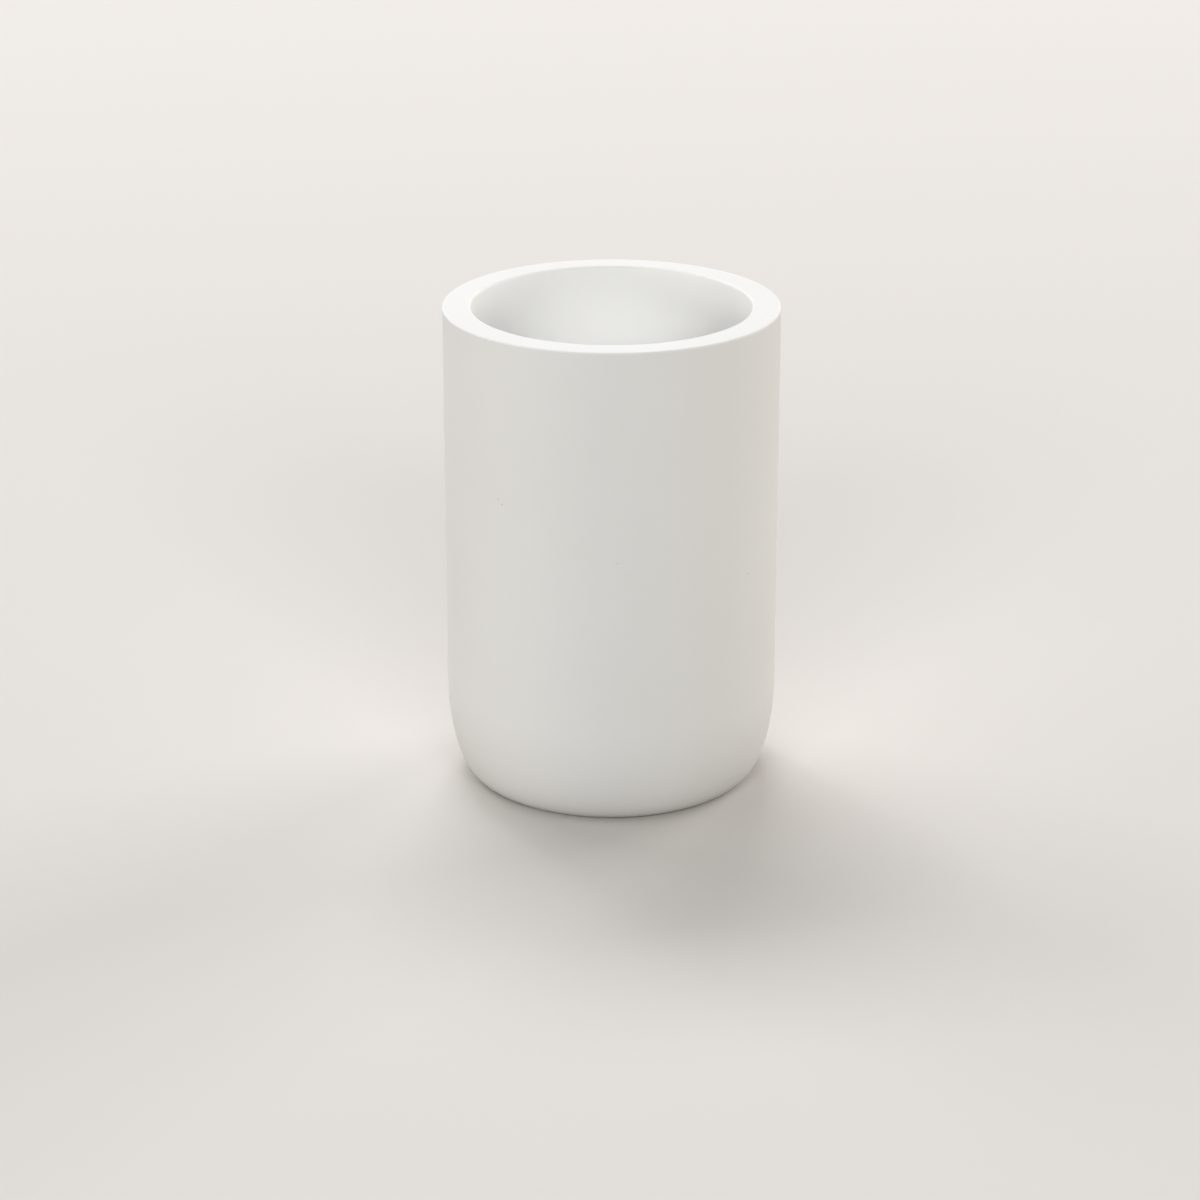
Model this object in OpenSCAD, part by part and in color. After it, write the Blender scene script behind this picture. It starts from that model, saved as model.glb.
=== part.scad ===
// Bathroom tumbler: a thick-walled resin casting that stands on a foam pad set into its underside.
// Lengths are in millimetres. +Z is up, and the origin is the centre of the face that it stands on.

/* [Body] */
// Outer diameter of the straight wall
body_d = 74.6; // [66:0.1:84]
// Height of the casting, from its underside to its rim
body_h = 110; // [92:0.5:130]
// Thickness of the straight wall, which is the width of the rim
wall_t = 6.3; // [5:0.1:8]
// Thickness of the floor, from the underside of the casting to the inside
floor_t = 8; // [6:0.1:11]

/* [Lower corner] */
// How far the corner draws the foot in from the wall
corner_w = 7.4; // [6:0.1:9.5]
// How far up the wall the corner begins
corner_h = 22.4; // [18:0.1:28]

/* [Inside] */
// Radius between the inside wall and the floor
inside_r = 10; // [7:0.1:13]

/* [Edges] */
// Radius on the outer edge of the rim
rim_outer_r = 0.5; // [0.3:0.05:1]
// Radius on the inner edge of the rim
rim_inner_r = 0.6; // [0.3:0.05:1]
// Radius on the lip of the pad's recess
recess_lip_r = 0.4; // [0.2:0.05:0.6]

/* [Base pad] */
// Width of the flat ring of the casting that surrounds the recess
foot_ring_w = 3.5; // [2.5:0.1:5]
// Gap round the pad, between its edge and the recess
pad_gap = 0.4; // [0.2:0.05:0.8]
// Thickness of the foam pad
pad_t = 1.5; // [1.2:0.05:2.2]
// Thickness of the adhesive film above the pad
film_t = 0.15; // [0.1:0.01:0.25]
// How far the pad stands below the casting
pad_proud = 0.5; // [0.3:0.05:0.7]

/* [Hidden] */
// Steps along the lower corner, and along each round edge
corner_steps = 32;
inside_steps = 16;
edge_steps = 6;
// Facets of every revolved form
round_facets = 180;

// Radii of the wall, the bore, the flat foot, the recess and the pad
body_r = body_d / 2;
bore_r = body_r - wall_t;
foot_r = body_r - corner_w;
recess_r = foot_r - foot_ring_w;
pad_r = recess_r - pad_gap;

// Levels, from the face that the tumbler stands on to its rim
underside_z = pad_proud;
film_z = pad_t;
recess_z = film_z + film_t;
floor_z = underside_z + floor_t;
corner_z = underside_z + corner_h;
rim_z = underside_z + body_h;

// Points along an arc, or along a part of an ellipse where the two radii differ
function arc_points(r, z, radius_r, radius_z, from, to, steps) = [
    for (i = [0 : steps])
        let (angle = from + (to - from) * i / steps)
        [r + radius_r * cos(angle), z + radius_z * sin(angle)]
];

// Roof and lip of the recess, from the axis outwards
function recess_points() = concat(
    [[0, recess_z], [recess_r, recess_z]],
    arc_points(recess_r + recess_lip_r, underside_z + recess_lip_r,
        recess_lip_r, recess_lip_r, 180, 270, edge_steps)
);

// Outer side, from the flat ring up the drawn-in corner and the wall to the rim
function outside_points() = concat(
    arc_points(foot_r, corner_z, corner_w, corner_h, 270, 360, corner_steps),
    arc_points(body_r - rim_outer_r, rim_z - rim_outer_r, rim_outer_r, rim_outer_r, 0, 90, edge_steps)
);

// Inner side, from the rim down the bore and the inside corner to the floor at the axis
function inside_points() = concat(
    arc_points(bore_r + rim_inner_r, rim_z - rim_inner_r, rim_inner_r, rim_inner_r, 90, 180, edge_steps),
    arc_points(bore_r - inside_r, floor_z + inside_r, inside_r, inside_r, 0, -90, inside_steps),
    [[0, floor_z]]
);

// Solid disc on the axis of the tumbler
module disc(r, t, z) {
    translate([0, 0, z]) cylinder(r = r, h = t, $fn = round_facets);
}

// One-piece casting: foot, wall, rim and inside
module tumbler_body() {
    color("whitesmoke")
        rotate_extrude($fn = round_facets)
            polygon(concat(recess_points(), outside_points(), inside_points()));
}

// Foam pad, which the tumbler stands on
module base_pad() {
    color("gainsboro") disc(pad_r, pad_t, 0);
}

// Film that bonds the pad to the roof of the recess
module pad_adhesive() {
    color("wheat") disc(pad_r, film_t, film_z);
}

tumbler_body();
base_pad();
pad_adhesive();
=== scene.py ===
# Bathroom tumbler: the looks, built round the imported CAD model. Lengths are in metres.
import math

import bmesh
import bpy
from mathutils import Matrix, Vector, noise


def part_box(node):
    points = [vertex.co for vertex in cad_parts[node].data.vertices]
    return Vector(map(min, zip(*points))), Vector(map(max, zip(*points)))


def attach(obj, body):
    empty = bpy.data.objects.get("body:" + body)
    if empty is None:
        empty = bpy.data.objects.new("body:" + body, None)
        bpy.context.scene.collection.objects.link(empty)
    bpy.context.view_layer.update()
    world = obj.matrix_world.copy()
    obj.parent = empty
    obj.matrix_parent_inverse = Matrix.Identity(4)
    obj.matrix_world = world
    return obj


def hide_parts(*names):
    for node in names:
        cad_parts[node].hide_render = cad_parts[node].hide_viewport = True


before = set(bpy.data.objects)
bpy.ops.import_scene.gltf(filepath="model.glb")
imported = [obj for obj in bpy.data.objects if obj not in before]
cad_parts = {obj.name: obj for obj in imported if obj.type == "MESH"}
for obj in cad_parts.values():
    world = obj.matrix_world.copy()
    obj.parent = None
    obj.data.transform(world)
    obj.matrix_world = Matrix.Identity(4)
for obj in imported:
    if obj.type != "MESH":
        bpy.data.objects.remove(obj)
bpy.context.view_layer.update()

scene = bpy.context.scene
mm = 0.001
print("frame loaded:", ", ".join(sorted(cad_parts)))

bodyLow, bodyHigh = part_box("tumbler_body")
padLow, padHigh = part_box("base_pad")
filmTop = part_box("pad_adhesive")[1].z


# The camera comes first. It stands where the photograph was taken from.
cameraView = {
    "distance": 0.7834,  # from the middle of the rim, as is the elevation
    "elevation": math.radians(16.07),
    "pitchDown": math.radians(20.84),
    "turnLeft": 0.0034,  # radians
    "focalPixels": 3549.3,
    "frameWidth": 1200,  # pixels
    "sensorWidth": 36,  # millimetres
    "nearest": 10 * mm,
    "furthest": 20,
}


def makeCamera():
    data = bpy.data.cameras.new("camera")
    data.sensor_width = cameraView["sensorWidth"]
    data.lens = cameraView["focalPixels"] / cameraView["frameWidth"] * cameraView["sensorWidth"]
    data.clip_start = cameraView["nearest"]
    data.clip_end = cameraView["furthest"]
    camera = bpy.data.objects.new("camera", data)
    level = cameraView["distance"] * math.cos(cameraView["elevation"])
    rise = cameraView["distance"] * math.sin(cameraView["elevation"])
    camera.location = (0, -level, bodyHigh.z + rise)
    camera.rotation_euler = (math.pi / 2 - cameraView["pitchDown"], 0, cameraView["turnLeft"])
    scene.collection.objects.link(camera)
    scene.camera = camera


makeCamera()
print("camera placed")


# Mesh helpers
mergeDistance = 0.001 * mm


def startSection(corners):
    # a wire of the half section in the XZ plane, from the axis out and back to it
    bm = bmesh.new()
    verts = [bm.verts.new((radius, 0, height)) for radius, height in corners]
    for start, end in zip(verts, verts[1:]):
        bm.edges.new((start, end))
    return bm, verts


def roundCorner(bm, vert, radius, steps):
    bmesh.ops.bevel(bm, geom=[vert], offset=radius, offset_type="OFFSET", segments=steps,
                    profile=0.5, affect="VERTICES", material=-1)


def splitLongEdges(bm, guard, longest):
    # a ring close to each end of a long stretch keeps the shading flat between the rounded edges
    for edge in [edge for edge in bm.edges if edge.calc_length() > longest]:
        start, end = edge.verts
        middle = edge
        for vert in (start, end):
            newVert = bmesh.utils.edge_split(middle, vert, guard / middle.calc_length())[1]
            middle = next(e for e in newVert.link_edges if vert not in e.verts)
        cuts = int(middle.calc_length() / longest)
        if cuts:
            bmesh.ops.subdivide_edges(bm, edges=[middle], cuts=cuts)


def turnSection(bm, steps):
    bmesh.ops.spin(bm, geom=bm.verts[:] + bm.edges[:], cent=(0, 0, 0), axis=(0, 0, 1),
                   angle=2 * math.pi, steps=steps, use_merge=True)
    bmesh.ops.remove_doubles(bm, verts=bm.verts[:], dist=mergeDistance)
    bmesh.ops.recalc_face_normals(bm, faces=bm.faces[:])
    # a spin leaves its faces in another order each run, so they are sorted by their corners
    bm.verts.index_update()
    ordered = sorted(bm.faces, key=lambda face: sorted(vert.index for vert in face.verts))
    for index, face in enumerate(ordered):
        face.index = index
    bm.faces.sort()


def finishPiece(bm, name, material, slot, *nodes):
    mesh = bpy.data.meshes.new(name)
    for face in bm.faces:
        face.smooth = True
    bm.to_mesh(mesh)
    bm.free()
    piece = bpy.data.objects.new(name, mesh)
    scene.collection.objects.link(piece)
    mesh.materials.append(material)
    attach(piece, "root")
    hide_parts(*nodes)
    print(name, "made,", len(mesh.polygons), "faces")
    return piece


# Material helpers
def startMaterial(name):
    material = bpy.data.materials.new(name)
    material.use_nodes = True
    tree = material.node_tree
    return material, tree, tree.nodes["Principled BSDF"]


def addNode(tree, kind, inputs, **settings):
    made = tree.nodes.new(kind)
    for key, value in settings.items():
        setattr(made, key, value)
    for key, value in inputs.items():
        if isinstance(value, bpy.types.NodeSocket):
            tree.links.new(value, made.inputs[key])
        else:
            made.inputs[key].default_value = value
    return made


def addNoise(tree, coords, scale, detail=2.0, roughness=0.5):
    made = addNode(tree, "ShaderNodeTexNoise",
                   {"Vector": coords, "Scale": scale, "Detail": detail, "Roughness": roughness})
    return made.outputs["Fac"]


def addRange(tree, value, fromLow, fromHigh, toLow, toHigh):
    made = addNode(tree, "ShaderNodeMapRange", {
        "Value": value, "From Min": fromLow, "From Max": fromHigh, "To Min": toLow, "To Max": toHigh,
    })
    return made.outputs["Result"]


def addMix(tree, factor, first, second):
    # its sockets share their names, so they go by number: 0 factor, 6 and 7 colours, 2 the result
    made = tree.nodes.new("ShaderNodeMix")
    made.data_type = "RGBA"
    for index, value in ((0, factor), (6, first), (7, second)):
        if isinstance(value, bpy.types.NodeSocket):
            tree.links.new(value, made.inputs[index])
        else:
            made.inputs[index].default_value = value
    return made.outputs[2]


def addLarger(tree, first, second):
    made = addNode(tree, "ShaderNodeMath", {0: first, 1: second}, operation="MAXIMUM")
    return made.outputs["Value"]


def addBump(tree, height, distance, under=None):
    inputs = {"Height": height, "Distance": distance}
    if under:
        inputs["Normal"] = under
    return addNode(tree, "ShaderNodeBump", inputs).outputs["Normal"]


# The casting: matte lacquer over stone-filled resin, poured in one piece
casting = {
    "wall": 6.3 * mm,
    "floor": 8.0 * mm,
    "cornerWidth": 7.4 * mm,
    "cornerHeight": 22.4 * mm,
    "insideRadius": 10.0 * mm,
    "rimOuterRadius": 0.5 * mm,
    "rimInnerRadius": 0.6 * mm,
    "lipRadius": 0.4 * mm,
    "footRing": 3.5 * mm,
    "recessCornerRadius": 0.25 * mm,
    "cornerSteps": 40,
    "insideSteps": 24,
    "edgeSteps": 8,
    "turnSteps": 192,
    "guard": 0.3 * mm,
    "longest": 2.5 * mm,
    "lightTone": (0.935, 0.934, 0.926, 1),
    "deepTone": (0.918, 0.915, 0.904, 1),
    "driftScale": 24,  # all scales are per metre
    "driftBand": (0.35, 0.65),  # the part of the noise that makes the whole change
    "mottleScale": 480,
    "mottleDetail": 3,
    "mottleGrain": 0.6,
    "mottleBand": (0.3, 0.7),
    "mottleShare": 0.35,
    "roughest": 0.88,
    "smoothest": 0.78,
    "roughScale": 150,
    "roughDetail": 3,
    "roughBand": (0.3, 0.7),
    "lacquerIor": 1.48,
    "lacquerGloss": 0.2,
    "peelScale": 620,  # spray texture
    "peelDepth": 0.012 * mm,
    "gritScale": 4200,
    "gritDepth": 0.003 * mm,
    # painted shade: the grey given to each pinhole stands in for the shade inside the pit
    "pinholeShadeTone": (0.62, 0.61, 0.58, 1),
    "pinholeScale": 95,
    "pinholeRadius": 0.22 * mm,
    "pinholeDepth": 0.06 * mm,
    "pinholeTurn": math.radians(-41),  # the one that shows, round the axis from the front
    "pinholeHeight": 74.8 * mm,
}


def addPinholes(tree, coords):
    # 1 in the middle of each pinhole: those where a scattered cell's centre meets the surface,
    # with distances in parts of a cell, and the one that shows, with distances in metres
    turn, reach, scale = casting["pinholeTurn"], casting["pinholeRadius"], casting["pinholeScale"]
    cells = addNode(tree, "ShaderNodeTexVoronoi", {"Vector": coords, "Scale": scale})
    scattered = addRange(tree, cells.outputs["Distance"], reach * scale / 2, reach * scale, 1, 0)
    place = (bodyHigh.x * math.sin(turn), -bodyHigh.x * math.cos(turn), casting["pinholeHeight"])
    away = addNode(tree, "ShaderNodeVectorMath", {0: coords, 1: place}, operation="DISTANCE")
    shown = addRange(tree, away.outputs["Value"], reach / 2, reach, 1, 0)
    return addLarger(tree, scattered, shown)


def castingMaterial():
    material, tree, shader = startMaterial("mattLacquer")
    coords = tree.nodes.new("ShaderNodeTexCoord").outputs["Object"]
    pinholes = addPinholes(tree, coords)
    drift = addRange(tree, addNoise(tree, coords, casting["driftScale"]), *casting["driftBand"], 0, 1)
    mottle = addNoise(tree, coords, casting["mottleScale"],
                      casting["mottleDetail"], casting["mottleGrain"])
    mottle = addRange(tree, mottle, *casting["mottleBand"], 0, casting["mottleShare"])
    tone = addMix(tree, drift, casting["lightTone"], casting["deepTone"])
    tone = addMix(tree, mottle, tone, casting["deepTone"])
    # painted shade: each pinhole is turned grey, standing in for the shade inside the pit
    tone = addMix(tree, pinholes, tone, casting["pinholeShadeTone"])
    tree.links.new(tone, shader.inputs["Base Color"])
    rough = addNoise(tree, coords, casting["roughScale"], casting["roughDetail"])
    rough = addRange(tree, rough, *casting["roughBand"], casting["smoothest"], casting["roughest"])
    tree.links.new(rough, shader.inputs["Roughness"])
    shader.inputs["IOR"].default_value = casting["lacquerIor"]
    shader.inputs["Specular IOR Level"].default_value = casting["lacquerGloss"]
    # relief: the soft waves of the spray, the grit of the matt finish, and the pinholes
    relief = addBump(tree, addNoise(tree, coords, casting["peelScale"]), casting["peelDepth"])
    relief = addBump(tree, addNoise(tree, coords, casting["gritScale"]), casting["gritDepth"], relief)
    relief = addBump(tree, addRange(tree, pinholes, 0, 1, 1, 0), casting["pinholeDepth"], relief)
    tree.links.new(relief, shader.inputs["Normal"])
    return material


def makeCasting():
    bodyRadius = bodyHigh.x
    boreRadius = bodyRadius - casting["wall"]
    footRadius = bodyRadius - casting["cornerWidth"]
    recessRadius = footRadius - casting["footRing"]
    underside, rim = bodyLow.z, bodyHigh.z
    inside = underside + casting["floor"]
    bm, verts = startSection([
        (0, filmTop), (recessRadius, filmTop), (recessRadius, underside), (bodyRadius, underside),
        (bodyRadius, rim), (boreRadius, rim), (boreRadius, inside), (0, inside),
    ])
    recessCorner, lip, lowerCorner, rimOuter, rimInner, insideCorner = verts[1:-1]
    # the lower corner is a quarter of an ellipse: a round one, while the section is squashed
    squash = casting["cornerWidth"] / casting["cornerHeight"]
    bmesh.ops.scale(bm, vec=(1, 1, squash), verts=bm.verts[:])
    roundCorner(bm, lowerCorner, casting["cornerWidth"], casting["cornerSteps"])
    bmesh.ops.scale(bm, vec=(1, 1, 1 / squash), verts=bm.verts[:])
    roundCorner(bm, recessCorner, casting["recessCornerRadius"], casting["edgeSteps"])
    roundCorner(bm, lip, casting["lipRadius"], casting["edgeSteps"])
    roundCorner(bm, rimOuter, casting["rimOuterRadius"], casting["edgeSteps"])
    roundCorner(bm, rimInner, casting["rimInnerRadius"], casting["edgeSteps"])
    roundCorner(bm, insideCorner, casting["insideRadius"], casting["insideSteps"])
    splitLongEdges(bm, casting["guard"], casting["longest"])
    turnSection(bm, casting["turnSteps"])
    finishPiece(bm, "casting", castingMaterial(), "resin", "tumbler_body")


makeCasting()


# The foam pad: a die-cut disc of closed-cell foam
foamPad = {
    "edgeRadius": 0.3 * mm,
    "edgeSteps": 6,
    "turnSteps": 192,
    "guard": 0.2 * mm,
    "longest": 1.2 * mm,
    "cutFrom": 0.98,  # share of the radius at which the cut edge begins
    "cutWave": 0.05 * mm,
    "cutWaveScale": 260,  # all scales are per metre
    "paleTone": (0.70, 0.70, 0.68, 1),
    # painted shade: the darker tone goes in the middle of each cell's hollow, where the bump is
    # deepest
    "cellHollowShadeTone": (0.52, 0.52, 0.50, 1),
    "roughness": 0.92,
    "cellScale": 1900,
    "cellSpread": 0.6,
    "cellDepth": 0.09 * mm,
    "fill": 1.0,
}


def foamMaterial():
    material, tree, shader = startMaterial("closedCellFoam")
    coords = tree.nodes.new("ShaderNodeTexCoord").outputs["Object"]
    cells = addNode(tree, "ShaderNodeTexVoronoi", {"Vector": coords, "Scale": foamPad["cellScale"]})
    depth = addRange(tree, cells.outputs["Distance"], 0, foamPad["cellSpread"], 0, 1)
    # painted shade: each cell is darker towards its middle, where its hollow is deepest
    tone = addMix(tree, depth, foamPad["cellHollowShadeTone"], foamPad["paleTone"])
    tree.links.new(tone, shader.inputs["Base Color"])
    shader.inputs["Roughness"].default_value = foamPad["roughness"]
    tree.links.new(addBump(tree, depth, foamPad["cellDepth"]), shader.inputs["Normal"])
    return material


def makeFoamPad():
    radius = padHigh.x
    bm, verts = startSection([(0, padLow.z), (radius, padLow.z), (radius, padHigh.z), (0, padHigh.z)])
    lowerEdge = verts[1]
    roundCorner(bm, lowerEdge, foamPad["edgeRadius"], foamPad["edgeSteps"])
    splitLongEdges(bm, foamPad["guard"], foamPad["longest"])
    turnSection(bm, foamPad["turnSteps"])
    # the cut edge wanders inwards a little
    for vert in bm.verts:
        if vert.co.xy.length / radius > foamPad["cutFrom"]:
            wave = (noise.noise(vert.co * foamPad["cutWaveScale"]) + 1) / 2
            shrink = 1 - wave * foamPad["cutWave"] / radius
            vert.co.x *= shrink
            vert.co.y *= shrink
    pad = finishPiece(bm, "foam_pad", foamMaterial(), "foam", "base_pad")


makeFoamPad()


# The adhesive film keeps its CAD node, and takes a finish
adhesive = {
    "tone": (0.78, 0.73, 0.60, 1),
    "streakTone": (0.68, 0.62, 0.48, 1),
    "streakScale": 90,
    "streakDetail": 4,
    "streakBand": (0.4, 0.6),
    "roughness": 0.35,
}


def filmMaterial():
    material, tree, shader = startMaterial("adhesiveFilm")
    coords = tree.nodes.new("ShaderNodeTexCoord").outputs["Object"]
    streaks = addNoise(tree, coords, adhesive["streakScale"], adhesive["streakDetail"])
    streaks = addRange(tree, streaks, *adhesive["streakBand"], 0, 1)
    tone = addMix(tree, streaks, adhesive["tone"], adhesive["streakTone"])
    tree.links.new(tone, shader.inputs["Base Color"])
    shader.inputs["Roughness"].default_value = adhesive["roughness"]
    return material


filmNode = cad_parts["pad_adhesive"]
filmNode.data.materials.clear()
filmNode.data.materials.append(filmMaterial())
print("film finished")


# Floor and light
stage = {
    "floorHalf": 6.0,
    "floorDrop": 0.05 * mm,  # keeps the floor clear of the pad's underside
    "floorTone": (0.75, 0.72, 0.695, 1),
    "bounceTone": (0.19, 0.165, 0.135, 1),  # what the floor throws back at the tumbler
    "floorRoughness": 0.9,
    "floorGloss": 0.1,
    "skyTone": (0.93, 0.93, 0.94, 1),
    "skyLight": 0.02,
}

lamps = {
    "high": {"place": (-0.3, 1.5, 2.35), "size": (1.4, 1.0), "watts": 38, "tone": (1, 1, 1)},
    "highLeft": {"place": (-1.8, 1.8, 2.05), "size": (1.6, 1.2), "watts": 25, "tone": (1, 1, 1)},
    "front": {"place": (0, -2.6, 1.3), "size": (2.8, 0.9), "watts": 57, "tone": (1, 1, 0.985)},
    "left": {"place": (-2.7, 0.2, 0.35), "size": (2.0, 0.6), "watts": 29, "tone": (1, 0.98, 0.94)},
    "right": {"place": (2.7, 0.2, 0.35), "size": (2.0, 0.6), "watts": 15, "tone": (1, 0.93, 0.81)},
    "backRight": {"place": (2.2, 1.8, 0.85), "size": (1.6, 1.6), "watts": 46, "tone": (1, 0.98, 0.95)},
}


def addSeenFactor(tree):
    # 1 for what the camera sees, also by reflection or through glass, and 0 for light that bounces
    path = tree.nodes.new("ShaderNodeLightPath").outputs
    seen = addLarger(tree, path["Is Camera Ray"], path["Is Glossy Ray"])
    return addLarger(tree, seen, path["Is Transmission Ray"])


def makeFloor():
    bm = bmesh.new()
    bmesh.ops.create_grid(bm, x_segments=1, y_segments=1, size=stage["floorHalf"])
    bmesh.ops.translate(bm, vec=(0, 0, -stage["floorDrop"]), verts=bm.verts[:])
    mesh = bpy.data.meshes.new("floor")
    bm.to_mesh(mesh)
    bm.free()
    floor = bpy.data.objects.new("floor", mesh)
    scene.collection.objects.link(floor)
    material, tree, shader = startMaterial("paleFloor")
    tone = addMix(tree, addSeenFactor(tree), stage["bounceTone"], stage["floorTone"])
    tree.links.new(tone, shader.inputs["Base Color"])
    shader.inputs["Roughness"].default_value = stage["floorRoughness"]
    shader.inputs["Specular IOR Level"].default_value = stage["floorGloss"]
    mesh.materials.append(material)


def makeLamp(name, lamp):
    data = bpy.data.lights.new(name, "AREA")
    data.shape = "RECTANGLE"
    data.size, data.size_y = lamp["size"]
    data.energy = lamp["watts"]
    data.color = lamp["tone"]
    made = bpy.data.objects.new(name, data)
    made.location = lamp["place"]
    # every lamp points at the middle of the tumbler
    aim = Vector((0, 0, bodyHigh.z / 2)) - made.location
    made.rotation_euler = aim.to_track_quat("-Z", "Y").to_euler()
    made.visible_camera = False
    scene.collection.objects.link(made)


def makeWorld():
    world = bpy.data.worlds.new("studio")
    world.use_nodes = True
    tree = world.node_tree
    strength = addRange(tree, addSeenFactor(tree), 0, 1, stage["skyLight"], 1)
    background = tree.nodes["Background"]
    background.inputs["Color"].default_value = stage["skyTone"]
    tree.links.new(strength, background.inputs["Strength"])
    scene.world = world


makeFloor()
makeWorld()
for name, lamp in lamps.items():
    makeLamp(name, lamp)
scene.view_settings.view_transform = "Standard"
print("floor and light placed")
